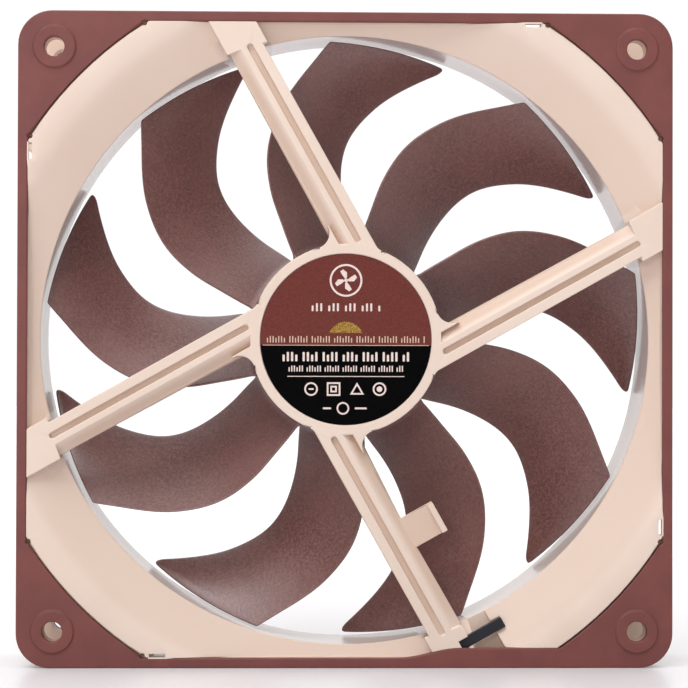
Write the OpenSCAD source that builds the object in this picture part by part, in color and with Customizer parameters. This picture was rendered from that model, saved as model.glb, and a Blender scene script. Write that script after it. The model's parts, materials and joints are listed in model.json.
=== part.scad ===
// Case fan, 140 mm square and 25 mm deep, with a nine-blade impeller on a sleeve bearing.
// The fan stands upright on one edge. Its axis lies along Y: the rear (exhaust) face looks
// along -Y and the front (intake) face along +Y. The origin is on the axis, on the plane of
// the rear screw rings.
// Every module draws its part lying down, with the rear face up at z = 0 and the depth
// going down to z = -frame_depth, and upright() stands it up.

/* [Frame] */
// Side of the square frame
frame_w = 140; // [138:0.5:142]
// Depth of the fan from the rear rings to the front rings
frame_depth = 25; // [25:0.5:28]
// Spacing of the screw holes along both sides
hole_pitch = 124.5; // [123:0.5:126]
// Diameter of the screw holes
hole_d = 4.3; // [3.8:0.1:4.8]
// Radius of the frame's corners
corner_r = 7.3; // [5:0.1:9]
// Diameter of the straight air duct
bore_d = 131; // [129:0.5:131.5]
// Wall thickness of the duct
duct_wall = 2; // [1.6:0.1:2.1]
// Diameter at which the rear flare meets the flat face
flare_d = 152; // [148:1:155]
// Depth of the rear flare
flare_depth = 4.5; // [3.5:0.1:4.6]
// Flange thickness, gasket included
flange_t = 5.4; // [5.3:0.1:6]

/* [Struts and motor base] */
// Diameter of the motor base
hub_d = 40.8; // [39:0.2:43]
// Diameter of the label's recess
label_recess_d = 36.7; // [34:0.1:37]
// Angle of the lower strut, from the sideways axis
strut_angle = -60.7; // [-75:0.1:-45]
// Distance from the fan's axis to the line of the strut's groove
strut_offset = 12.6; // [11:0.1:14]
// Width of the strut between the groove's line and its outer edge
strut_outer = 2.8; // [2:0.1:3.2]
// Width of the strut between the groove's line and its inner edge
strut_inner = 4.3; // [3.5:0.1:4.6]
// Depth of the struts and of the motor base
strut_depth = 4.7; // [4:0.1:5]

/* [Gasket] */
// Width of the gasket's border along each side
border_w = 2.15; // [1.8:0.05:2.6]
// Thickness of the gasket
gasket_t = 1.5; // [1:0.1:1.6]
// Height of the ring round each screw hole
ring_h = 0.5; // [0.3:0.1:0.6]
// Diameter of the ring round each screw hole
ring_d = 9.1; // [8:0.1:10]
// Diameter of the arc that bounds the corner pads
pad_arc_d = 160.4; // [158:0.2:164]
// Gap between the pads' arc and the frame
pad_gap = 0.35; // [0.1:0.05:0.5]

/* [Impeller] */
// Number of blades
blade_count = 9; // [7:1:9]
// Gap between the blade tips and the duct
tip_gap = 0.6; // [0.5:0.1:1.5]
// Thickness of the blades at their thickest
blade_t = 1.9; // [1.2:0.1:2.4]
// Diameter of the impeller's hub
rotor_d = 40.8; // [40.4:0.1:41]
// Turn of the impeller about the axis, at rest
rotor_angle = 0; // [0:1:40]

/* [Motor] */
// Diameter of the shaft
shaft_d = 3; // [2.6:0.1:3]
// Radial clearance between the shaft and its sleeve
shaft_clearance = 0.02; // [0.01:0.01:0.06]
// Outer diameter of the stator core
core_d = 30.2; // [29:0.1:30.4]
// Number of stator poles
pole_count = 6; // [4:1:6]

/* [Hidden] */
$fn = 96;

eps = 0.01;
over = 1;
half = frame_w / 2;
hole_at = hole_pitch / 2;
bore_r = bore_d / 2;
duct_r = bore_r + duct_wall;
border_in = half - border_w;
pad_arc_r = pad_arc_d / 2;
fine = 180;

// depths below the rear ring plane
face_depth = ring_h;
seat_depth = ring_h + gasket_t;
front_face_depth = frame_depth - ring_h;
front_seat_depth = frame_depth - ring_h - gasket_t;
strut_bottom = face_depth + strut_depth;
base_bottom = strut_bottom + 0.4;

// gasket cover over the cable exit, at the lower edge
cover_start = 11.5;
cover_full = 24.5;
cover_end = 48;
cover_h = 2.1;

// cable notch and its clamp, in the lower strut's own axes
notch_from = -8.1;
notch_to = -2.3;
notch_end = 74.5;
notch_depth = 5.2;
clamp_from = -10.4;
clamp_to = 0;
clamp_near = 68;
clamp_w = 2.3;
clamp_top = 2.1;
clamp_t = 1.9;

// motor base
hub_r = hub_d / 2;
base_floor_t = 1.3;
label_recess = 0.45;
label_t = 0.25;
base_floor_bottom = face_depth + label_recess + base_floor_t;
base_wall = 1.6;

// motor stack: depths and radii
shell_r = 4.4;
shell_bore_r = 3.2;
shell_top = face_depth + label_recess;
shell_bottom = 19;
shell_end_t = 0.95;
core_top = 10.2;
core_h = 7;
insulator_t = 1.2;
board_top = 3.6;
board_t = 1;
rotor_open = 6.2;
rotor_front = 24.6;
rotor_wall = 1.4;
rotor_inner_r = rotor_d / 2 - rotor_wall;
yoke_t = 0.9;
yoke_open = 8;
magnet_inner_r = core_d / 2 + 0.5;

// blade stations, from root to tip: share of the span, angle of the leading and the trailing
// edge, and depth of the leading and the trailing edge
tip_r = bore_r - tip_gap;
root_r = rotor_d / 2 - 0.7;
span = tip_r - root_r;
blade_table = [
    [0.00, 2.5, 41.5, 22.6, 7.6],
    [0.18, 9.3, 38.6, 22.8, 7.4],
    [0.36, 11.2, 36.3, 22.8, 7.4],
    [0.54, 9.2, 32.2, 22.6, 7.6],
    [0.72, 2.6, 25.3, 22.4, 8.0],
    [0.90, -6.3, 16.8, 22.0, 8.4],
    [1.00, -11.2, 12.8, 21.6, 8.6]
];
tip_round = 2.4;
camber = 0.30;
blade_edge_t = 0.55;
span_steps = 13;
chord_steps = 8;

// ---- helpers ----

module upright() {
    rotate([90, 0, 0]) children();
}

// a slab of a 2D outline between two depths
module slab(top, bottom) {
    translate([0, 0, -bottom]) linear_extrude(bottom - top) children();
}

module rounded_square(w, r) {
    square([w - 2 * r, w], center = true);
    square([w, w - 2 * r], center = true);
    for (x = [-1, 1], y = [-1, 1])
        translate([x * (w / 2 - r), y * (w / 2 - r)]) circle(r);
}

module at_holes() {
    for (x = [-1, 1], y = [-1, 1])
        translate([x * hole_at, y * hole_at]) children();
}

// axes of one strut: x runs outward along it, y towards the fan's axis
module at_strut(k) {
    rotate([0, 0, strut_angle + 90 * k]) children();
}

module ring(outer_r, inner_r, top, bottom) {
    slab(top, bottom) difference() {
        circle(outer_r);
        circle(inner_r);
    }
}

// ---- frame ----

// smooth ramp of the gasket up to its cover over the cable exit
module cover_outline() {
    steps = 10;
    ramp = [for (i = [0:steps])
        [cover_start + (cover_full - cover_start) * i / steps,
         -border_in + cover_h * (1 - cos(180 * i / steps)) / 2]];
    polygon(concat(
        [[cover_start, -half + eps]],
        ramp,
        [[cover_end, -border_in + cover_h], [cover_end, -half + eps]]
    ));
}

// raised part of the rear face, inside the gasket
module island_outline(grow) {
    difference() {
        intersection() {
            square(2 * border_in, center = true);
            circle(pad_arc_r - pad_gap + grow, $fn = fine);
        }
        cover_outline();
    }
}

// round reliefs where the pads' arc meets the border
module relief_outline() {
    along = sqrt(pow(pad_arc_r - pad_gap / 2, 2) - pow(border_in - 0.45, 2));
    for (k = [0:3], s = [-1, 1])
        rotate([0, 0, 90 * k]) translate([s * along, border_in - 0.45])
            if (!(k == 2 && s == -1)) circle(0.55, $fn = 32);
}

// slots beside the gasket's border, which widen outwards below it
module border_slots() {
    slot_l = 3.4;
    slot_w = 0.8;
    slot_in = border_in - 0.05 - slot_w;
    pocket_w = 2.2;
    at = 40;
    for (k = [0:3])
        rotate([0, 0, 90 * k]) {
            slab(-over, flange_t + over)
                translate([-slot_in - slot_w, at - slot_l / 2]) square([slot_w, slot_l]);
            slab(seat_depth + 0.8, flange_t + over)
                translate([-slot_in - pocket_w, at - slot_l / 2 - 0.2]) square([pocket_w, slot_l + 0.4]);
            // notch in line with the slot, in the edge of the front flange
            slab(frame_depth - flange_t - over, frame_depth + over)
                translate([-half - over, at - slot_l / 2 - 0.2]) square([over + 0.8, slot_l + 0.4]);
        }
}

module corner_pad_outline() {
    pad_from = 44;
    difference() {
        intersection() {
            rounded_square(frame_w, corner_r);
            for (x = [-1, 1], y = [-1, 1])
                translate([x * half, y * half]) square(2 * (half - pad_from), center = true);
        }
        circle(pad_arc_r, $fn = fine);
    }
}

module duct_and_flanges() {
    slab(face_depth, flange_t) rounded_square(frame_w, corner_r);
    slab(seat_depth, front_seat_depth) circle(duct_r, $fn = fine);
    difference() {
        slab(frame_depth - flange_t, front_face_depth) rounded_square(frame_w, corner_r);
        slab(front_seat_depth, frame_depth) corner_pad_outline();
    }
}

module bore_and_flares() {
    slab(-over, frame_depth + over) circle(bore_r, $fn = fine);
    // rear flare, kept inside the gasket's border
    intersection() {
        slab(-over, seat_depth + flare_depth) square(2 * border_in, center = true);
        union() {
            translate([0, 0, -face_depth - flare_depth])
                cylinder(h = flare_depth, r1 = bore_r, r2 = flare_d / 2, $fn = fine);
            slab(-over, face_depth) circle(flare_d / 2, $fn = fine);
        }
    }
    // front bell mouth
    bell_depth = 3;
    bell_r = half - 1.6;
    translate([0, 0, -front_face_depth])
        cylinder(h = bell_depth, r1 = bell_r, r2 = bore_r, $fn = fine);
}

// cross-section of a strut, x across it and y up
module strut_section() {
    crest = 2;
    slope_drop = 2.1;
    polygon([
        [-strut_outer, -face_depth],
        [-strut_outer, -strut_bottom + 1],
        [-strut_outer + 1, -strut_bottom],
        [strut_inner - 0.6, -strut_bottom],
        [strut_inner, -strut_bottom + 0.6],
        [strut_inner, -face_depth - slope_drop],
        [crest, -face_depth]
    ]);
}

// fills the inside corner between a strut's edge and the motor base
module hub_fillet(edge, side, r) {
    bite = 0.02;
    centre_y = edge + side * (r - bite);
    centre_x = sqrt(pow(hub_r + r - bite, 2) - pow(centre_y, 2));
    wall_r = hub_r - base_wall / 2;
    inside = edge - side * 0.3;
    slab(face_depth, strut_bottom - 0.3) difference() {
        polygon([
            [centre_x, inside],
            [centre_x, centre_y],
            [centre_x, centre_y] * wall_r / (hub_r + r),
            [sqrt(pow(wall_r, 2) - pow(edge, 2)), inside]
        ]);
        translate([centre_x, centre_y]) circle(r);
    }
}

module strut() {
    start = 12.3;
    strut_end = 66;
    root_from = 63;
    root_to = 78;
    root_outer = strut_outer + 1;
    root_inner = strut_inner + 0.9;
    difference() {
        union() {
            translate([start, -strut_offset, 0]) rotate([90, 0, 90])
                linear_extrude(strut_end - start) strut_section();
            hub_fillet(-strut_offset - strut_outer, -1, 3);
            hub_fillet(-strut_offset + strut_inner, 1, 3.2);
            // flat root on the frame
            slab(face_depth, flange_t - eps) difference() {
                intersection() {
                    translate([root_from, -strut_offset - root_outer])
                        square([root_to - root_from, root_outer + root_inner]);
                    rotate(-strut_angle) square(2 * (border_in + 1), center = true);
                }
                circle(bore_r + 0.2, $fn = fine);
            }
        }
        // groove along the strut
        slab(-over, face_depth + 1.1) {
            groove_w = 1.3;
            groove_from = 17.5;
            groove_to = 64.5;
            translate([groove_from, -strut_offset - groove_w / 2])
                square([groove_to - groove_from, groove_w]);
            for (x = [groove_from, groove_to])
                translate([x, -strut_offset]) circle(groove_w / 2, $fn = 32);
        }
    }
}

module cable_tab() {
    tab_from = 39.2;
    tab_l = 7;
    tab_edge = -0.8;
    plate_top = 2.2;
    plate_bottom = 3.6;
    lip_top = 0.9;
    lip_w = 1.3;
    at_strut(0) {
        slab(plate_top, plate_bottom)
            translate([tab_from, -strut_offset + 2.6])
                square([tab_l, strut_offset - 2.6 + tab_edge]);
        slab(lip_top, plate_bottom)
            translate([tab_from + 0.3, tab_edge - lip_w]) square([tab_l - 0.3, lip_w]);
    }
}

// posts under the circuit board
module board_posts() {
    for (a = [45:90:315])
        rotate([0, 0, a]) translate([15, 0])
            slab(base_floor_bottom - over, board_top) circle(1.1, $fn = 32);
}

// recess of the label, seat of the bearing shell and room for the circuit board
module motor_base_cuts() {
    slab(-over, face_depth + label_recess) circle(label_recess_d / 2);
    slab(-over, base_bottom + over) circle(shell_r);
    difference() {
        slab(base_floor_bottom, base_bottom + over) circle(hub_r - base_wall);
        board_posts();
    }
}

// room of the gasket on the rear flange
module gasket_seat() {
    slab(-over, seat_depth) difference() {
        square(frame_w + 2 * over, center = true);
        island_outline(0);
    }
}

module cable_cuts() {
    at_strut(0) {
        // notch over the duct's edge and through the rear flange
        slab(-over, notch_depth)
            translate([bore_r - 4, notch_from]) square([notch_end - bore_r + 4, notch_to - notch_from]);
        // seat of the clamp
        slab(-over, clamp_top + clamp_t)
            translate([clamp_near, clamp_from]) square([clamp_w, clamp_to - clamp_from]);
        // lead exit through the wall of the motor base
        slab(base_floor_bottom, base_bottom + over)
            translate([hub_r - 5, -6.5]) square([8, 4.5]);
    }
}

module frame() {
    color("#e3d0c2") upright() difference() {
        union() {
            difference() {
                duct_and_flanges();
                bore_and_flares();
            }
            for (k = [0:3]) at_strut(k) strut();
            cable_tab();
            slab(face_depth, base_bottom) circle(hub_r);
        }
        gasket_seat();
        motor_base_cuts();
        cable_cuts();
        slab(-over, frame_depth + over) at_holes() circle(hole_d / 2);
        border_slots();
        slab(-over, seat_depth + 1) relief_outline();
    }
}

module rear_gasket() {
    color("#85504c") upright() difference() {
        union() {
            slab(face_depth, seat_depth) difference() {
                rounded_square(frame_w, corner_r);
                island_outline(pad_gap);
                relief_outline();
            }
            slab(0, seat_depth) at_holes() circle(ring_d / 2);
        }
        slab(-over, seat_depth + over) at_holes() circle(hole_d / 2);
    }
}

module front_corner_pads() {
    color("#85504c") upright() difference() {
        union() {
            slab(front_seat_depth, front_face_depth) corner_pad_outline();
            slab(front_seat_depth, frame_depth) at_holes() circle(ring_d / 2);
        }
        slab(-over, frame_depth + over) at_holes() circle(hole_d / 2);
    }
}

module cable_clamp() {
    relief = 0.6;
    color("#22262b") upright() at_strut(0) difference() {
        slab(clamp_top, clamp_top + clamp_t)
            translate([clamp_near, clamp_from]) square([clamp_w, clamp_to - clamp_from]);
        // hollow under the bar, where the cable passes
        slab(clamp_top + clamp_t - relief, clamp_top + clamp_t + over)
            translate([clamp_near - over, notch_from]) square([clamp_w + 2 * over, notch_to - notch_from]);
    }
}

module hub_label() {
    window_r = 3.8;
    window_from = 1.4;
    color("#6d3c36") upright()
        slab(face_depth + label_recess - label_t, face_depth + label_recess) difference() {
            circle(label_recess_d / 2 - 0.1);
            intersection() {
                circle(window_r);
                translate([-window_r, window_from]) square([2 * window_r, window_r]);
            }
        }
}

// ---- bearing ----

module bearing_shell() {
    color("#d9b26a") upright() {
        ring(shell_r, shell_bore_r, shell_top, shell_bottom);
        slab(shell_top, shell_top + shell_end_t) circle(shell_r);
    }
}

module thrust_pad() {
    color("#e9e4d6") upright() slab(shell_top + shell_end_t, 2.5) circle(1.8);
}

module stabilising_magnet() {
    color("#3b3b3f") upright() ring(shell_bore_r - 0.05, 1.9, shell_top + shell_end_t, 3.6);
}

module shaft_clip() {
    clip_top = 4.2;
    clip_bottom = 4.6;
    color("#c9c4ba") upright() difference() {
        ring(shell_bore_r - 0.05, shaft_d / 2 - 0.25, clip_top, clip_bottom);
        slab(clip_top - over, clip_bottom + over) translate([0, -0.4]) square([shell_r, 0.8]);
    }
}

module bearing_sleeve() {
    color("#a9773f") upright() ring(shell_bore_r, shaft_d / 2 + shaft_clearance, 5.2, 17.6);
}

module oil_seal_ring() {
    color("#2b2b2e") upright() ring(shell_bore_r, shaft_d / 2 + 0.3, 17.7, 18.6);
}

// ---- stator ----

// outline of the core, and of the insulators when grown
module core_outline(tooth_w, shoe_r, yoke_r) {
    shoe_t = 1.4;
    pitch = 360 / pole_count;
    slot_open = 1.6;
    difference() {
        union() {
            circle(yoke_r);
            for (k = [0:pole_count - 1])
                rotate([0, 0, pitch * k]) translate([0, -tooth_w / 2]) square([shoe_r - 0.5, tooth_w]);
            difference() {
                circle(shoe_r);
                circle(shoe_r - shoe_t);
                for (k = [0:pole_count - 1])
                    rotate([0, 0, pitch * (k + 0.5)])
                        translate([0, -slot_open / 2]) square([shoe_r + over, slot_open]);
            }
        }
        circle(shell_r);
    }
}

module stator_core() {
    color("#8d9094") upright() slab(core_top, core_top + core_h)
        core_outline(2.6, core_d / 2, 6.8);
}

module rear_insulator() {
    color("#2f3136") upright() slab(core_top - insulator_t, core_top)
        core_outline(3, core_d / 2 - 0.3, 6.9);
}

module front_insulator() {
    color("#2f3136") upright() slab(core_top + core_h, core_top + core_h + insulator_t)
        core_outline(3, core_d / 2 - 0.3, 6.9);
}

module coils() {
    hole_w = 3.2;
    coil_w = 5.6;
    coil_from = 7.6;
    coil_l = 5.6;
    winding_t = 0.9;
    top = core_top - insulator_t;
    bottom = core_top + core_h + insulator_t;
    color("#b5652b") upright()
        for (k = [0:pole_count - 1])
            rotate([0, 0, 360 / pole_count * k]) difference() {
                slab(top - winding_t, bottom + winding_t)
                    translate([coil_from, -coil_w / 2]) square([coil_l, coil_w]);
                slab(top, bottom)
                    translate([coil_from - over, -hole_w / 2]) square([coil_l + 2 * over, hole_w]);
            }
}

module winding_pins() {
    color("#d0c9b0") upright()
        for (a = [30:120:270])
            rotate([0, 0, a]) translate([6.2, 0])
                slab(board_top - 0.4, core_top - insulator_t) circle(0.32, $fn = 24);
}

module circuit_board() {
    color("#2f6b45") upright() slab(board_top, board_top + board_t) difference() {
        circle(17.9);
        circle(4.8);
        for (a = [30:120:270])
            rotate([0, 0, a]) translate([6.2, 0]) circle(0.33, $fn = 24);
    }
}

// a part of the given size on the circuit board
module on_board(angle, radius, size) {
    upright() rotate([0, 0, angle]) translate([radius, 0])
        slab(board_top + board_t, board_top + board_t + size[2]) square([size[0], size[1]], center = true);
}

module driver_chip() {
    color("#1d1e21") on_board(100, 11.5, [4.4, 5, 0.9]);
}

module hall_sensor() {
    color("#26272b") on_board(0, 15.8, [1.6, 3, 1.1]);
}

module board_parts() {
    color("#b7a27c") {
        for (a = [150, 168, 186]) on_board(a, 14.5, [1.2, 2, 0.8]);
        for (a = [230, 255]) on_board(a, 12.5, [2.5, 1.6, 1.4]);
        for (a = [60, 300]) on_board(a, 15, [0.8, 1.6, 0.5]);
    }
}

// ---- rotor ----

// row of the blade table from which span share s is reached
function segment(s, i = 0) =
    i >= len(blade_table) - 2 || s < blade_table[i + 1][0] ? i : segment(s, i + 1);

// slope of column c at row i
function slope(i, c) =
    let (a = max(i - 1, 0), b = min(i + 1, len(blade_table) - 1))
    (blade_table[b][c] - blade_table[a][c]) / (blade_table[b][0] - blade_table[a][0]);

// value of column c at span share s, on a smooth curve through the rows
function station(s, c) =
    let (
        i = segment(s),
        p = blade_table[i],
        q = blade_table[i + 1],
        w = q[0] - p[0],
        t = (s - p[0]) / w
    )
    (2 * t * t * t - 3 * t * t + 1) * p[c] + (t * t * t - 2 * t * t + t) * w * slope(i, c)
    + (3 * t * t - 2 * t * t * t) * q[c] + (t * t * t - t * t) * w * slope(i + 1, c);

// how far the rounded tip corner cuts the leading edge back, in millimetres
function tip_cut(r) =
    let (in = max(0, r - (tip_r - tip_round)))
    tip_round - sqrt(max(0, tip_round * tip_round - in * in));

// half thickness along the chord, c from 0 at the leading edge to 1 at the trailing edge
function half_t(c) = blade_edge_t / 2 + (blade_t - blade_edge_t) / 2 * sin(180 * pow(c, 0.8));

// point of the blade at radius r and chord share c, on its rear side (1) or its front side (-1)
function blade_point(r, c, side) =
    let (
        s = (r - root_r) / span,
        lead = station(s, 1) + tip_cut(r) / r * 180 / PI,
        trail = station(s, 2),
        deep = station(s, 3),
        near = station(s, 4),
        chord = (trail - lead) * PI / 180 * r,
        rise = deep - near,
        along = c - camber * c * (1 - c),
        pitch = 1 - camber * (1 - 2 * c),
        dir = [chord, rise * pitch],
        n = [-dir[1], dir[0]] / norm(dir),
        off = side * half_t(c) * n,
        angle = lead + (trail - lead) * c + off[0] / r * 180 / PI,
        depth = deep - rise * along - off[1]
    )
    [r * cos(angle), r * sin(angle), -depth];

// radii of the blade's sections, closer together at the rounded tip
blade_radii = concat(
    [for (i = [0:span_steps - 1]) root_r + (span - tip_round) * i / span_steps],
    [for (a = [0:15:75]) tip_r - tip_round + tip_round * sin(a)],
    [tip_r]
);

module blade() {
    rings = len(blade_radii);
    n = 2 * chord_steps;
    // the last section keeps a little of its corner, so that no edge has zero length
    points = [for (r = blade_radii, j = [0:n - 1])
        j < chord_steps
            ? blade_point(r, j / (chord_steps - 1), 1)
            : blade_point(r, (n - 1 - j) / (chord_steps - 1), -1)];
    sides = [for (i = [0:rings - 2], j = [0:n - 1])
        let (k = (j + 1) % n)
        each [[i * n + j, (i + 1) * n + k, (i + 1) * n + j], [i * n + j, i * n + k, (i + 1) * n + k]]];
    function cap(i, flip) = [for (j = [0:chord_steps - 2])
        let (a = i * n + j, b = a + 1, c = i * n + n - 2 - j, d = c + 1)
        each flip ? [[a, c, b], [a, d, c]] : [[a, b, c], [a, c, d]]];
    polyhedron(points, concat(sides, cap(0, true), cap(rings - 1, false)), convexity = 6);
}

module rotor_hub() {
    edge = 1.8;
    badge_recess_r = 15.6;
    rotate_extrude() difference() {
        union() {
            translate([0, -rotor_front]) square([rotor_d / 2 - edge, rotor_front - rotor_open]);
            translate([0, -rotor_front + edge]) square([rotor_d / 2, rotor_front - rotor_open - edge]);
            translate([rotor_d / 2 - edge, -rotor_front + edge]) circle(edge, $fn = 64);
        }
        translate([-rotor_d, -rotor_front - over]) square([rotor_d, rotor_front + over]);
        translate([-eps, -rotor_front + rotor_wall])
            square([rotor_inner_r + eps, rotor_front - rotor_open]);
        translate([-eps, -rotor_front - over]) square([badge_recess_r + eps, over + 0.3]);
    }
}

module impeller() {
    color("#6c4845") upright() rotate([0, 0, rotor_angle]) {
        rotor_hub();
        for (k = [0:blade_count - 1]) rotate([0, 0, 360 / blade_count * k]) blade();
    }
}

module rotor_yoke() {
    yoke_r = rotor_inner_r;
    yoke_front = rotor_front - rotor_wall;
    color("#9a9da1") upright() {
        ring(yoke_r, yoke_r - yoke_t, yoke_open, yoke_front);
        ring(yoke_r, 3, yoke_front - yoke_t, yoke_front);
    }
}

module magnet_ring() {
    color("#45464b") upright()
        ring(rotor_inner_r - yoke_t, magnet_inner_r, yoke_open + 0.6, 19.8);
}

module hub_bushing() {
    boss_r = 4.2;
    yoke_front = rotor_front - rotor_wall;
    color("#d3ad5f") upright() {
        ring(boss_r, shaft_d / 2, 19.8, yoke_front - yoke_t);
        ring(3, shaft_d / 2, yoke_front - yoke_t - eps, yoke_front);
    }
}

module shaft() {
    neck_top = 4;
    neck_bottom = 4.8;
    shaft_top = 2.6;
    shaft_bottom = rotor_front - rotor_wall;
    color("#d7dadd") upright() {
        slab(shaft_top, neck_top) circle(shaft_d / 2);
        slab(neck_top - eps, neck_bottom + eps) circle(shaft_d / 2 - 0.55);
        slab(neck_bottom, shaft_bottom) circle(shaft_d / 2);
    }
}

module hub_badge() {
    badge_t = 0.25;
    color("#7a4a44") upright() slab(rotor_front - 0.3, rotor_front - 0.3 + badge_t) circle(15.5);
}

frame();
rear_gasket();
front_corner_pads();
cable_clamp();
hub_label();
bearing_shell();
bearing_sleeve();
oil_seal_ring();
thrust_pad();
stabilising_magnet();
shaft_clip();
stator_core();
rear_insulator();
front_insulator();
coils();
winding_pins();
circuit_board();
driver_chip();
hall_sensor();
board_parts();
impeller();
rotor_yoke();
magnet_ring();
hub_bushing();
shaft();
hub_badge();
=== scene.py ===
"""A 140 mm case fan standing on a pale floor, seen from its exhaust side.

Everything is in metres and in the frame of the CAD model: the rotor's axis lies along Y, the rear
(exhaust) face looks along -Y and +Z is up. Lengths below are given in millimetres times MM.
"""

import json
import math

import bmesh
import bpy
import numpy as np
from mathutils import Matrix, Vector
from mathutils.bvhtree import BVHTree

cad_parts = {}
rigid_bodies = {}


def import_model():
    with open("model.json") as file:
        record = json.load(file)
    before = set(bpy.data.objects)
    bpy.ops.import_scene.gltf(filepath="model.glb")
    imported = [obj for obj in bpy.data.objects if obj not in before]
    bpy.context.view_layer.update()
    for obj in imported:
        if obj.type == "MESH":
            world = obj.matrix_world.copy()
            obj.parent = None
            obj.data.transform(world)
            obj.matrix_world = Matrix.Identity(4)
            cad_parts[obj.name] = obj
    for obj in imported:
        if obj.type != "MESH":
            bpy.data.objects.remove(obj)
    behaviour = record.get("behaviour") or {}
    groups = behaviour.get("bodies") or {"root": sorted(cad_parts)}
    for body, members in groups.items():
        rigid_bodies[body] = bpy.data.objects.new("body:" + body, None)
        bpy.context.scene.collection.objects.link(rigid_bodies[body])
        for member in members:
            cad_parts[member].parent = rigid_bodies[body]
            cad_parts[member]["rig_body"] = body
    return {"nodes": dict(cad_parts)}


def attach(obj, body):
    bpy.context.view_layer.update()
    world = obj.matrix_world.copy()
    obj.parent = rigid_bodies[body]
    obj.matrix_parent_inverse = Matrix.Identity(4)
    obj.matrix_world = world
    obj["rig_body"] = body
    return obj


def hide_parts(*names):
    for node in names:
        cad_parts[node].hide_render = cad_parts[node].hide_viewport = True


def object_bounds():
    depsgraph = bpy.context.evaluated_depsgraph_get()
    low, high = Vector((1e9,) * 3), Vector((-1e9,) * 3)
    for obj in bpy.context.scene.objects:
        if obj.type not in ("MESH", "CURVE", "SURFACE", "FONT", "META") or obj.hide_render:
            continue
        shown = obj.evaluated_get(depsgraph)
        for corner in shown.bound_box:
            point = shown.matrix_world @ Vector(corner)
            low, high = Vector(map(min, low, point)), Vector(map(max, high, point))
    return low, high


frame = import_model()
cad_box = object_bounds()

MM = 0.001


# ---- materials ----

def linear(code):
    """A colour such as "#e3d0c2" as the linear RGBA that a shader takes."""
    shares = [int(code[i:i + 2], 16) / 255 for i in (1, 3, 5)]
    return (*[s / 12.92 if s <= 0.04045 else ((s + 0.055) / 1.055) ** 2.4 for s in shares], 1)


class Shader:
    """A Principled material and the nodes that feed it."""

    def __init__(self, name, roughness=0.5, metallic=0.0, specular=0.5):
        self.material = bpy.data.materials.new(name)
        self.material.use_nodes = True
        self.tree = self.material.node_tree
        self.surface = self.tree.nodes["Principled BSDF"]
        self.surface.inputs["Roughness"].default_value = roughness
        self.surface.inputs["Metallic"].default_value = metallic
        self.surface.inputs["Specular IOR Level"].default_value = specular
        self.place = self.node("ShaderNodeTexCoord").outputs["Object"]

    def node(self, kind, values=None, **settings):
        """A new node. Values are numbers, colours or the sockets to link."""
        made = self.tree.nodes.new(kind)
        for key, value in settings.items():
            setattr(made, key, value)
        for key, value in (values or {}).items():
            if isinstance(value, bpy.types.NodeSocket):
                self.tree.links.new(value, made.inputs[key])
            else:
                made.inputs[key].default_value = value
        return made

    def noise(self, size, detail=3.0, stretch=None):
        """Noise whose features are about size metres across."""
        place = self.place
        if stretch:
            place = self.node("ShaderNodeMapping", {0: place, "Scale": stretch}).outputs[0]
        values = {"Vector": place, "Scale": 1 / size, "Detail": detail, "Roughness": 0.55}
        return self.node("ShaderNodeTexNoise", values).outputs["Fac"]

    def cells(self, size):
        """The distance to the nearest of many scattered points, about size metres apart."""
        values = {"Vector": self.place, "Scale": 1 / size}
        return self.node("ShaderNodeTexVoronoi", values).outputs["Distance"]

    def combine(self, operation, a, b):
        """The result of one arithmetic step, on numbers or sockets."""
        return self.node("ShaderNodeMath", {0: a, 1: b}, operation=operation).outputs[0]

    def product(self, a, b):
        return self.combine("MULTIPLY", a, b)

    def ramp(self, value, low, high, to_low=0.0, to_high=1.0, smooth=True):
        """value from low..high mapped to to_low..to_high and held at the ends."""
        values = {"Value": value, 1: low, 2: high, 3: to_low, 4: to_high}
        kind = "SMOOTHSTEP" if smooth else "LINEAR"
        return self.node("ShaderNodeMapRange", values, interpolation_type=kind).outputs[0]

    def mix(self, share, a, b):
        """Colour a where share is 0 and colour b where it is 1. The node's colours are inputs 6 and 7."""
        return self.node("ShaderNodeMix", {0: share, 6: a, 7: b}, data_type="RGBA").outputs[2]

    def axis(self, name):
        """One coordinate of the point, in metres."""
        return self.node("ShaderNodeSeparateXYZ", {0: self.place}).outputs[name]

    def radius(self):
        """Distance from the rotor's axis, in metres."""
        flat = self.node("ShaderNodeVectorMath", {0: self.place, 1: (1, 0, 1)}, operation="MULTIPLY")
        return self.node("ShaderNodeVectorMath", {0: flat.outputs[0]}, operation="LENGTH").outputs["Value"]

    def set(self, name, socket):
        """Feeds an input of the surface."""
        self.tree.links.new(socket, self.surface.inputs[name])

    def bump(self, height, depth):
        """Relief that is depth metres high where height is 1."""
        values = {"Height": height, "Distance": depth, "Strength": 1.0}
        self.set("Normal", self.node("ShaderNodeBump", values).outputs[0])


def moulded(name, dark, light, rough, grain, depth, mottle=9 * MM):
    """Plastic or rubber with a mottled colour, a fine eroded grain and uneven gloss."""
    s = Shader(name)
    patch = s.noise(mottle, 4)
    s.set("Base Color", s.mix(s.ramp(patch, 0.35, 0.65), linear(dark), linear(light)))
    fine = s.noise(grain, 2)
    s.set("Roughness", s.ramp(fine, 0.3, 0.7, rough - 0.06, rough + 0.06))
    s.bump(fine, depth)
    return s.material


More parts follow.
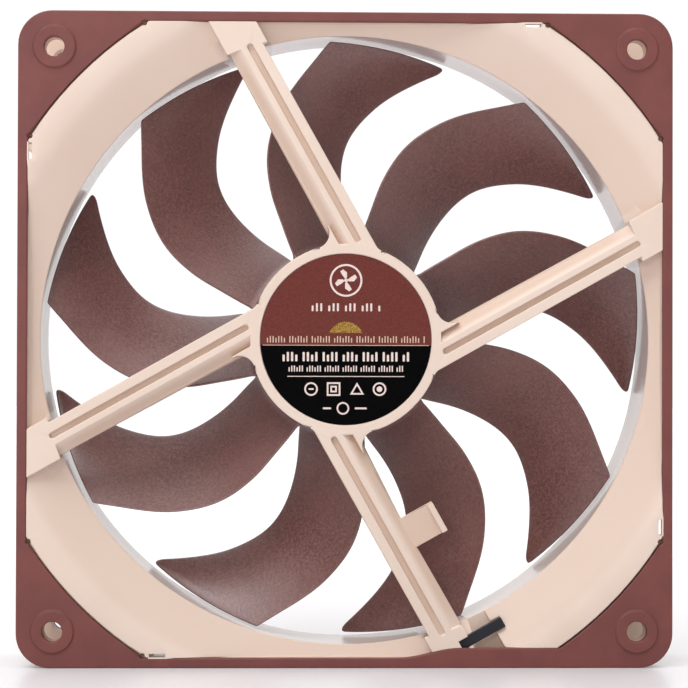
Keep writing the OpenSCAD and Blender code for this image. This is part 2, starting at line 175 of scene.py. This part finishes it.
def frame_plastic():
    """Beige plastic, matt on the faces and polished inside the air duct, with painted shade in its hollows
    and a painted grey reflection on the duct's wall.
    """
    s = Shader("frame_plastic")
    patch = s.noise(25 * MM, 2)
    face = s.mix(s.ramp(patch, 0.2, 0.8), linear("#dfcabb"), linear("#e3d0c2"))
    depth = s.axis("Y")
    # painted shade: a darker, warmer beige on what lies between the two outer faces, such as the grooves and
    # the struts' slopes, weaker on the flare
    below_rear = s.ramp(depth, 0.55 * MM, 1.7 * MM)
    above_front = s.ramp(depth, 23.3 * MM, 24.45 * MM, 1, 0)
    flare = s.ramp(s.radius(), 60 * MM, 65 * MM, 1, 0.42)
    sunk_shade = s.product(s.product(below_rear, above_front), flare)
    shaded_beige = s.mix(sunk_shade, face, linear("#d5bba9"))
    # polished where the duct's wall lies: at the bore, away from the motor base, below the struts; there the
    # colour is also greyed, a painted reflection of the white room, and the gloss is raised
    bore = 65.5 * MM
    inside = s.ramp(s.radius(), bore + 0.03 * MM, bore + 0.2 * MM, 1, 0)
    outside_base = s.ramp(s.radius(), 60 * MM, 64 * MM)
    below_struts = s.ramp(depth, 5.1 * MM, 5.5 * MM)
    polish_and_reflection = s.product(s.product(inside, outside_base), below_struts)
    s.set("Base Color", s.mix(polish_and_reflection, shaded_beige, linear("#c9bdb8")))
    fine = s.noise(0.35 * MM, 2)
    matt = s.ramp(fine, 0.3, 0.7, 0.46, 0.58)
    s.set("Roughness", s.product(matt, s.ramp(polish_and_reflection, 0, 1, 1, 0.4)))
    s.bump(fine, 0.012 * MM)
    return s.material


def blade_plastic():
    """Dark brown plastic with the fine leathery grain of a reinforced moulding and a satin gloss."""
    s = Shader("blade_plastic", specular=1.0)
    patch = s.noise(14 * MM, 3)
    fine = s.noise(0.5 * MM, 3)
    brown = s.mix(s.ramp(patch, 0.3, 0.7), linear("#5c3632"), linear("#6b413c"))
    s.set("Base Color", s.mix(s.ramp(fine, 0.35, 0.7), brown, linear("#7c514b")))
    creases = s.ramp(s.cells(0.9 * MM), 0.0, 0.75)
    relief = s.combine("ADD", s.product(creases, fine), s.noise(0.28 * MM, 2))
    s.bump(relief, 0.03 * MM)
    s.set("Roughness", s.ramp(fine, 0.3, 0.7, 0.34, 0.44))
    return s.material


def label_paper():
    """The label's foil: brown above, a thin pale line, and black below."""
    s = Shader("label_foil", specular=0.04)
    height = s.axis("Z")
    line_at = -1.26 * MM
    speck = s.noise(0.4 * MM, 2)
    brown = s.mix(s.ramp(speck, 0.3, 0.7), linear("#66342f"), linear("#703b35"))
    black = s.mix(s.ramp(speck, 0.3, 0.7), linear("#020203"), linear("#060506"))
    lower = s.ramp(height, line_at - 0.03 * MM, line_at + 0.03 * MM, 1, 0)
    s.set("Base Color", s.mix(lower, brown, black))
    s.bump(speck, 0.004 * MM)
    s.set("Roughness", s.ramp(speck, 0.3, 0.7, 0.33, 0.45))
    return s.material


def print_ink(name, code):
    """Printing ink with a faint speckle."""
    s = Shader(name)
    speck = s.noise(0.3 * MM, 2)
    s.set("Base Color", s.mix(s.ramp(speck, 0.2, 0.8), linear(code), linear("#d8c0b8")))
    s.set("Roughness", s.ramp(speck, 0.3, 0.7, 0.42, 0.52))
    return s.material


def metal(name, dark, light, rough, size, depth, stretch=None):
    """Metal with drawn or turned marks."""
    s = Shader(name, metallic=1.0)
    marks = s.noise(size, 3, stretch)
    s.set("Base Color", s.mix(s.ramp(marks, 0.3, 0.7), linear(dark), linear(light)))
    s.set("Roughness", s.ramp(marks, 0.3, 0.7, rough - 0.07, rough + 0.07))
    s.bump(marks, depth)
    return s.material


def laminated_steel():
    """Stacked steel sheets, 0.5 mm thick, with dark joints between them."""
    s = Shader("laminated_steel", metallic=0.85)
    sheet = 0.5 * MM
    share = s.combine("PINGPONG", s.product(s.axis("Y"), 1 / sheet), 1.0)
    joint = s.ramp(share, 0.0, 0.14)
    tint = s.mix(s.ramp(s.noise(2 * MM), 0.3, 0.7), linear("#8b8f93"), linear("#a2a5a8"))
    s.set("Base Color", s.mix(joint, linear("#3a3734"), tint))
    s.bump(joint, 0.03 * MM)
    s.set("Roughness", s.ramp(joint, 0, 1, 0.7, 0.4))
    return s.material


def board_green():
    """Circuit board with a solder mask over its copper areas."""
    s = Shader("board_green", roughness=0.35)
    islands = s.ramp(s.cells(2.2 * MM), 0.32, 0.36)
    s.set("Base Color", s.mix(islands, linear("#2a6a42"), linear("#1d5233")))
    s.bump(islands, 0.03 * MM)
    return s.material


def floor_white():
    """Satin white studio table, glowing a little away from the fan so that it fades into the room."""
    s = Shader("floor_white", roughness=0.32, specular=0.35)
    patch = s.noise(300 * MM, 2)
    s.set("Base Color", s.mix(patch, linear("#c2bfc2"), linear("#c6c4c6")))
    s.surface.inputs["Emission Color"].default_value = linear("#fdfbfd")
    apart = s.node("ShaderNodeVectorMath", {0: s.place}, operation="LENGTH").outputs["Value"]
    s.set("Emission Strength", s.ramp(apart, 80 * MM, 450 * MM, 0.11, 0.34))
    return s.material


MATERIALS = {
    "frame": frame_plastic(),
    "impeller": blade_plastic(),
    "gasket": moulded("gasket_silicone", "#6f3a36", "#773f3a", 0.58, 0.4 * MM, 0.01 * MM),
    "clamp": moulded("clamp_black", "#080c17", "#0c1220", 0.42, 0.3 * MM, 0.02 * MM),
    "label": label_paper(),
    "badge": moulded("badge_foil", "#5a302b", "#5f352f", 0.35, 0.4 * MM, 0.004 * MM, 3 * MM),
    "white": moulded("thrust_white", "#d9d4c6", "#e6e1d4", 0.4, 0.3 * MM, 0.01 * MM),
    "seal": moulded("seal_rubber", "#1b1b1d", "#232326", 0.6, 0.3 * MM, 0.02 * MM),
    "magnet": moulded("magnet_ferrite", "#2c2d31", "#3b3c41", 0.55, 0.25 * MM, 0.03 * MM),
    "insulator": moulded("insulator_plastic", "#1d1f23", "#272a2f", 0.5, 0.3 * MM, 0.02 * MM),
    "chip": moulded("chip_epoxy", "#17181a", "#1f2023", 0.6, 0.15 * MM, 0.01 * MM),
    "ceramic": moulded("part_ceramic", "#a58c62", "#bda57d", 0.45, 0.3 * MM, 0.01 * MM),
    "brass": metal("brass", "#b98f45", "#d6ac5f", 0.27, 0.35 * MM, 0.006 * MM),
    "bronze": metal("sintered_bronze", "#855a2d", "#a67642", 0.55, 0.12 * MM, 0.03 * MM),
    "steel": metal("shaft_steel", "#b4b8bc", "#d2d5d8", 0.16, 0.3 * MM, 0.003 * MM, (1, 12, 1)),
    "yoke": metal("yoke_steel", "#85898d", "#a3a6aa", 0.36, 0.5 * MM, 0.006 * MM, (1, 1, 8)),
    "tin": metal("tinned_wire", "#b2aea0", "#ccc9bb", 0.3, 0.2 * MM, 0.006 * MM),
    "copper": metal("enamelled_copper", "#9c4a1e", "#bd6530", 0.33, 0.3 * MM, 0.01 * MM),
    "core": laminated_steel(),
    "board": board_green(),
    "ink": print_ink("print_pale", "#ecdcd6"),
    "gold_ink": print_ink("print_gold", "#c9a27e"),
}


def dress(piece, material):
    """Gives every face of the piece one material."""
    piece.data.materials.clear()
    piece.data.materials.append(MATERIALS[material])
    piece.data.polygons.foreach_set("material_index", [0] * len(piece.data.polygons))


# ---- meshes ----

def mesh_from(form, name):
    """The form as a mesh whose faces look outwards. It frees the form."""
    bmesh.ops.recalc_face_normals(form, faces=form.faces)
    mesh = bpy.data.meshes.new(name)
    form.to_mesh(mesh)
    form.free()
    return mesh


def new_piece(name, body, mesh, material):
    """A visible piece that rides a body of the CAD model."""
    piece = bpy.data.objects.new(name, mesh)
    bpy.context.scene.collection.objects.link(piece)
    dress(piece, material)
    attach(piece, body)
    return piece


def shade(piece, sharp_deg=38):
    """Smooth shading with sharp edges kept, weighted towards the large faces."""
    piece.data.polygons.foreach_set("use_smooth", [True] * len(piece.data.polygons))
    piece.data.set_sharp_from_angle(angle=math.radians(sharp_deg))
    weighted = piece.modifiers.new("weighted_normals", "WEIGHTED_NORMAL")
    weighted.keep_sharp = True
    weighted.weight = 60


def rounded_edges(form, width, segments, turn):
    """A copy of the form with its sharp edges rounded, apart from spots where that would tear it."""
    left_sharp = 6 * width
    farthest = 1.2 * width
    tries = 3
    surface = BVHTree.FromBMesh(form)
    spots = []
    for _ in range(tries):
        trial = form.copy()
        sharp = [
            e for e in trial.edges
            if len(e.link_faces) == 2 and e.calc_face_angle(0) > turn
            and not any((v.co - spot).length < left_sharp for v in e.verts for spot in spots)
        ]
        bmesh.ops.bevel(
            trial, geom=sharp, offset=width, offset_type="OFFSET", segments=segments,
            profile=0.5, affect="EDGES", clamp_overlap=False,
        )
        bmesh.ops.remove_doubles(trial, verts=trial.verts, dist=1e-6)
        torn = [v.co.copy() for e in trial.edges if len(e.link_faces) != 2 for v in e.verts]
        if not torn:
            break
        spots += torn
    for v in trial.verts:
        place, _, _, gap = surface.find_nearest(v.co)
        if gap > farthest:
            v.co = place
    return trial


def rounded_copy(node, name, material, width, segments=3, edge_deg=28):
    """The CAD node's shape with its edges rounded by width."""
    source = frame["nodes"][node]
    form = bmesh.new()
    form.from_mesh(source.data)
    bmesh.ops.remove_doubles(form, verts=form.verts, dist=2e-6)
    rounded = rounded_edges(form, width, segments, math.radians(edge_deg))
    form.free()
    piece = new_piece(name, source["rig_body"], mesh_from(rounded, name), material)
    shade(piece)
    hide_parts(node)


# ---- impeller ----

ROTOR_R = 20.4 * MM
ROTOR_FRONT = 24.6 * MM
ROTOR_OPEN = 6.2 * MM
ROTOR_WALL = 1.4 * MM
TIP_R = 64.9 * MM
ROOT_R = ROTOR_R - 0.7 * MM
BLADES = 9
CAMBER = 0.30
BLADE_T = 1.9 * MM
BLADE_EDGE_T = 0.55 * MM
TIP_ROUND = 2.4 * MM
TIP_RIM = 0.28 * MM
FOOT_REACH = 1.6 * MM
FOOT_FILLET = 0.9 * MM
# The angles follow the blades' edges in the photograph, and the depths are estimates:
# span share, leading and trailing angle in degrees, leading and trailing depth in millimetres
BLADE_STATIONS = np.array([
    (0.00, 2.5, 41.5, 22.6, 7.6),
    (0.18, 9.3, 38.6, 22.8, 7.4),
    (0.36, 11.2, 36.3, 22.8, 7.4),
    (0.54, 9.2, 32.2, 22.6, 7.6),
    (0.72, 2.6, 25.3, 22.4, 8.0),
    (0.90, -6.3, 16.8, 22.0, 8.4),
    (1.00, -11.2, 12.8, 21.6, 8.6),
])


def station(share):
    """The blade's angles and depths at a share of its span, on a smooth curve through the stations."""
    table = BLADE_STATIONS
    last = len(table) - 1
    i = min(int(np.searchsorted(table[:, 0], share, side="right")) - 1, last - 1)
    i = max(i, 0)

    def slope(k):
        a, b = max(k - 1, 0), min(k + 1, last)
        return (table[b] - table[a]) / (table[b][0] - table[a][0])

    p, q = table[i], table[i + 1]
    w = q[0] - p[0]
    t = (share - p[0]) / w
    row = (
        (2 * t**3 - 3 * t**2 + 1) * p + (t**3 - 2 * t**2 + t) * w * slope(i)
        + (3 * t**2 - 2 * t**3) * q + (t**3 - t**2) * w * slope(i + 1)
    )
    return math.radians(row[1]), math.radians(row[2]), row[3] * MM, row[4] * MM


def blade_section(r, thickness=1.0, chords=26, ends=5):
    """The closed outline of the blade at radius r, as points of the fan at angle 0."""
    lead, trail, deep, near = station((r - ROOT_R) / (TIP_R - ROOT_R))
    cut = max(0.0, r - (TIP_R - TIP_ROUND))
    lead += (TIP_ROUND - math.sqrt(max(0.0, TIP_ROUND**2 - cut**2))) / r
    chord, rise = (trail - lead) * r, deep - near
    foot = max(0.0, 1 - (r - ROTOR_R) / FOOT_REACH)
    fillet = FOOT_FILLET * (1 - math.sqrt(max(0.0, 1 - min(foot, 1.0) ** 2)))

    def middle(c):
        along = c - CAMBER * c * (1 - c)
        point = np.array([lead * r + chord * c, deep - rise * along])
        way = np.array([chord, -rise * (1 - CAMBER * (1 - 2 * c))])
        way /= np.linalg.norm(way)
        half = BLADE_EDGE_T / 2 + (BLADE_T - BLADE_EDGE_T) / 2 * math.sin(math.pi * c**0.8)
        return point, way, half * thickness + fillet

    outline = []
    for side in (1, -1):
        shares = [(1 - math.cos(math.pi * k / chords)) / 2 for k in range(chords + 1)]
        if side < 0:
            shares.reverse()
        for c in shares:
            point, way, half = middle(c)
            outline.append(point + side * half * np.array([-way[1], way[0]]))
        point, way, half = middle(1.0 if side > 0 else 0.0)
        for k in range(1, ends):
            a = math.pi / 2 - math.pi * k / ends
            out = math.cos(a) * way + math.sin(a) * np.array([-way[1], way[0]])
            outline.append(point + side * half * out)
    return [(r * math.cos(u / r), v, r * math.sin(u / r)) for u, v in outline]


def blade_radii():
    """Where the sections lie: even along the span, closer at the root and at the tip."""
    root = [ROOT_R + 1e-6] + [ROTOR_R + FOOT_REACH * (k / 6) ** 2 for k in range(7)]
    span = np.linspace(ROTOR_R + 2.4 * MM, TIP_R - TIP_ROUND, 40)
    tip = [TIP_R - TIP_ROUND * (1 - math.sin(math.radians(a))) for a in range(12, 84, 12)]
    return root + list(span) + tip


def blade_mesh(form, turn):
    """One blade, closed at its root and rounded at its tip."""
    radii = [(r, 1.0) for r in blade_radii() if r < TIP_R - TIP_RIM]
    rim_angles = np.radians((0, 25, 50, 72))
    radii += [(TIP_R - TIP_RIM * (1 - math.sin(a)), math.cos(a)) for a in rim_angles]
    rings = []
    for r, thickness in radii:
        rings.append([form.verts.new(p) for p in blade_section(r, thickness)])
    for a, b in zip(rings, rings[1:]):
        for k in range(len(a)):
            form.faces.new((a[k - 1], a[k], b[k], b[k - 1]))
    form.faces.new(rings[0])
    form.faces.new(rings[-1][::-1])
    bmesh.ops.rotate(
        form, verts=[v for ring in rings for v in ring],
        cent=(0, 0, 0), matrix=Matrix.Rotation(-turn, 3, "Y"),
    )


def arc(x, y, r, start, end, steps=6):
    """Points of an arc in a (radius, depth) profile, in millimetres and degrees."""
    angles = [math.radians(start + (end - start) * k / steps) for k in range(steps + 1)]
    return [(x + r * math.cos(a), y + r * math.sin(a)) for a in angles]


def revolve(form, profile, steps=144):
    """A (radius, depth) profile in millimetres that starts and ends on the rotor's axis, turned about it."""
    rings = []
    for r, depth in profile:
        if r < 1e-6:
            rings.append([form.verts.new((0, depth * MM, 0))] * steps)
            continue
        turns = [2 * math.pi * k / steps for k in range(steps)]
        rings.append([
            form.verts.new((r * MM * math.cos(a), depth * MM, r * MM * math.sin(a))) for a in turns
        ])
    for a, b in zip(rings, rings[1:]):
        for k in range(steps):
            corners = []
            for v in (a[k - 1], a[k], b[k], b[k - 1]):
                if v not in corners:
                    corners.append(v)
            if len(corners) > 2:
                form.faces.new(corners)


def impeller_piece():
    """The hub with a recess for its badge, and the nine blades."""
    form = bmesh.new()
    for k in range(BLADES):
        blade_mesh(form, 2 * math.pi * k / BLADES)
    outer, wall = ROTOR_R / MM, ROTOR_WALL / MM
    inner = outer - wall
    front, back = ROTOR_FRONT / MM, ROTOR_OPEN / MM
    shoulder, lip, corner = 1.8, 0.3, 0.5
    recess = 0.3
    profile = [(0, front - recess), (15.4, front - recess)]
    profile += [(15.6, front - 0.25), (15.7, front - 0.06), (15.8, front)]
    profile += arc(outer - shoulder, front - shoulder, shoulder, 90, 0, 10)
    profile += arc(outer - lip, back + lip, lip, 0, -90, 4)
    profile += arc(inner + lip, back + lip, lip, -90, -180, 4)
    profile += [(inner, front - wall - corner), (inner - corner, front - wall), (0, front - wall)]
    revolve(form, profile)
    mesh = mesh_from(form, "impeller_moulding")
    piece = new_piece("impeller_moulding", "rotor", mesh, "impeller")
    shade(piece, 42)
    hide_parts("impeller")


# ---- printed label ----

PRINT_T = 0.02 * MM
LABEL_FACE = 0.70 * MM


def plate(form, outline):
    """A thin printed area with the given (x, z) outline in millimetres."""
    back = [form.verts.new((x * MM, LABEL_FACE + PRINT_T, z * MM)) for x, z in outline]
    front = [form.verts.new((x * MM, LABEL_FACE - PRINT_T, z * MM)) for x, z in outline]
    form.faces.new(front)
    form.faces.new(back[::-1])
    for k in range(len(outline)):
        form.faces.new((front[k - 1], back[k - 1], back[k], front[k]))


def pill(cx, cz, w, h, r=None, steps=5):
    """A rectangle with rounded corners."""
    r = min(w, h) / 2 if r is None else r
    points = []
    for x, z, start in ((1, 1, 0), (-1, 1, 90), (-1, -1, 180), (1, -1, 270)):
        points += arc(cx + x * (w / 2 - r), cz + z * (h / 2 - r), r, start, start + 90, steps)
    return points


def dashes(form, half, low, high, stroke, gap, rhythm):
    """A row of short upright strokes with a steady rhythm of wider gaps, centred on the axis."""
    places, x, k = [], 0.0, 0
    while x < 2 * half:
        places.append(x)
        k += 1
        x += stroke + gap * (2.6 if k % rhythm == 0 else 1)
    middle = (places[-1] + stroke) / 2
    for i, x in enumerate(places):
        top = high if i % 3 else low + (high - low) * 0.72
        plate(form, pill(x - middle + stroke / 2, (low + top) / 2, stroke, top - low, stroke * 0.3, 2))


def band(form, cx, cz, r, w, start=0, end=360, steps=40):
    """A ring or part of one."""
    outer = arc(cx, cz, r, start, end, steps)
    inner = arc(cx, cz, r - w, start, end, steps)
    for k in range(steps):
        plate(form, [outer[k], outer[k + 1], inner[k + 1], inner[k]])


def fan_sign(form, cx, cz, r):
    """A plain fan pictogram: a ring with four curved vanes."""
    band(form, cx, cz, r, 0.42)
    for k in range(4):
        turn = math.radians(90 * k + 20)
        vane = [(0.25, 0.0), (0.55, -0.42), (1.5, -0.75), (2.35, -0.2), (2.2, 0.5), (1.3, 0.35)]
        scale = r / 3.4
        plate(form, [
            (cx + scale * (x * math.cos(turn) - z * math.sin(turn)),
             cz + scale * (x * math.sin(turn) + z * math.cos(turn)))
            for x, z in vane
        ])
    plate(form, arc(cx, cz, 0.42, 0, 330, 11))


def label_print():
    """The pale print: a fan sign, three rows of strokes, a line and two rows of simple shapes."""
    form = bmesh.new()
    fan_sign(form, 0, 12.6, 3.5)
    dashes(form, 7.2, 6.0, 7.7, 0.42, 0.5, 3)
    dashes(form, 13.3, -4.7, -2.7, 0.48, 0.42, 4)
    dashes(form, 12.2, -6.9, -5.6, 0.26, 0.3, 6)
    plate(form, pill(0, -7.9, 25, 0.16))
    row, r, line = -10.6, 1.45, 0.36
    band(form, -7.4, row, r, line)
    plate(form, pill(-7.4, row, 1.1, line))
    for half in (r, 0.7):
        # a ring of four steps is a square, and its corners lie 1.414 times as far out as its sides
        band(form, -2.6, row, half * 1.414, line * 1.414, 45, 405, 4)
    band(form, 2.4, row - 0.3, 1.75, 0.7, 90, 450, 3)
    band(form, 7.2, row, r, line)
    plate(form, arc(7.2, row, 0.62, 0, 330, 11))
    last_row = -14.7
    band(form, -0.6, last_row, 1.35, 0.35)
    plate(form, pill(3.2, last_row, 2.6, 0.4))
    plate(form, pill(-4.0, last_row, 1.8, 0.4))
    new_piece("label_print", "housing", mesh_from(form, "label_print"), "ink")


def label_gold_print():
    """The golden print: a row of fine strokes across the middle and the line below it."""
    form = bmesh.new()
    dashes(form, 17.0, -0.7, 0.7, 0.24, 0.36, 7)
    plate(form, pill(0, -1.26, 35.4, 0.14))
    mesh = mesh_from(form, "label_gold_print")
    new_piece("label_gold_print", "housing", mesh, "gold_ink")


# ---- the fan ----

impeller_piece()
rounded_copy("frame", "frame_moulding", "frame", 0.2 * MM)
rounded_copy("rear_gasket", "rear_gasket_moulding", "gasket", 0.3 * MM)
rounded_copy("front_corner_pads", "front_pad_mouldings", "gasket", 0.3 * MM)
rounded_copy("cable_clamp", "cable_clamp_bar", "clamp", 0.15 * MM)
rounded_copy("hub_label", "hub_label_foil", "label", 0.05 * MM, 2)
rounded_copy("hub_badge", "hub_badge_foil", "badge", 0.05 * MM, 2)
label_print()
label_gold_print()

INNER_MATERIALS = {
    "bearing_shell": "brass", "bearing_sleeve": "bronze", "oil_seal_ring": "seal",
    "thrust_pad": "white", "stabilising_magnet": "magnet", "shaft_clip": "steel",
    "stator_core": "core", "rear_insulator": "insulator", "front_insulator": "insulator",
    "coils": "copper", "winding_pins": "tin", "circuit_board": "board", "driver_chip": "chip",
    "hall_sensor": "chip", "board_parts": "ceramic", "rotor_yoke": "yoke",
    "magnet_ring": "magnet", "hub_bushing": "brass", "shaft": "steel",
}
for node, material in INNER_MATERIALS.items():
    dress(frame["nodes"][node], material)


# ---- studio ----

def floor():
    """The studio table, in line with the fan's lower edge."""
    size = 3.0
    mesh = bpy.data.meshes.new("studio_floor")
    low = cad_box[0].z
    corners = [(-size, -size, low), (size, -size, low), (size, size, low), (-size, size, low)]
    mesh.from_pydata(corners, [], [(0, 1, 2, 3)])
    piece = bpy.data.objects.new("studio_floor", mesh)
    bpy.context.scene.collection.objects.link(piece)
    piece.data.materials.append(floor_white())


def soft_light(name, place, size, power, tint):
    """A rectangular lamp that is aimed at the fan's centre."""
    data = bpy.data.lights.new(name, "AREA")
    data.shape = "RECTANGLE"
    data.size, data.size_y = size
    data.energy = power
    data.color = tint
    light = bpy.data.objects.new(name, data)
    light.location = place
    light.rotation_euler = (-Vector(place)).to_track_quat("-Z", "Y").to_euler()
    bpy.context.scene.collection.objects.link(light)


def surroundings():
    """A white room with a bright ceiling, light behind the fan and dimmer in front of it."""
    world = bpy.data.worlds.new("white_room")
    world.use_nodes = True
    tree = world.node_tree
    place = tree.nodes.new("ShaderNodeTexCoord")
    split = tree.nodes.new("ShaderNodeSeparateXYZ")
    tree.links.new(place.outputs["Generated"], split.inputs[0])

    def grade(axis, kind, start, end, dim, bright):
        """Brightness along one axis of the direction, dim up to start and bright from end on."""
        made = tree.nodes.new("ShaderNodeMapRange")
        made.interpolation_type = kind
        for index, value in enumerate((start, end, dim, bright), 1):
            made.inputs[index].default_value = value
        tree.links.new(split.outputs[axis], made.inputs[0])
        return made.outputs[0]

    both = tree.nodes.new("ShaderNodeMath")
    room = grade("Y", "LINEAR", start=-0.6, end=0.9, dim=0.22, bright=1.04)
    ceiling = grade("Z", "SMOOTHSTEP", start=0.7, end=0.92, dim=0.0, bright=2.4)
    tree.links.new(room, both.inputs[0])
    tree.links.new(ceiling, both.inputs[1])
    tree.links.new(both.outputs[0], tree.nodes["Background"].inputs["Strength"])
    tree.nodes["Background"].inputs["Color"].default_value = (1, 1, 1, 1)
    bpy.context.scene.world = world


def camera():
    """A long lens a little to the left of the axis and below it, turned towards the fan."""
    place = Vector((-14.5 * MM, -450 * MM, -6.1 * MM))
    pan, tilt, roll = math.radians(1.29), math.radians(0.72), math.radians(0.15)
    data = bpy.data.cameras.new("camera")
    data.sensor_width = 36
    data.lens = 110.6
    data.shift_x = 0.0269
    data.shift_y = -0.0038
    data.clip_start = 0.01
    view = bpy.data.objects.new("camera", data)
    turn = Matrix.Rotation(-pan, 4, "Z") @ Matrix.Rotation(math.radians(90) + tilt, 4, "X")
    view.matrix_world = Matrix.Translation(place) @ turn @ Matrix.Rotation(roll, 4, "Z")
    bpy.context.scene.collection.objects.link(view)
    bpy.context.scene.camera = view


floor()
surroundings()
soft_light(
    "overhead", place=(-0.3, -0.55, 0.75), size=(0.6, 0.4), power=4.0, tint=(1.0, 0.985, 0.985),
)
soft_light("front", place=(-0.4, -1.2, 0.4), size=(0.3, 0.3), power=3.0, tint=(1.0, 0.99, 0.975))
camera()
bpy.context.scene.view_settings.view_transform = "Standard"
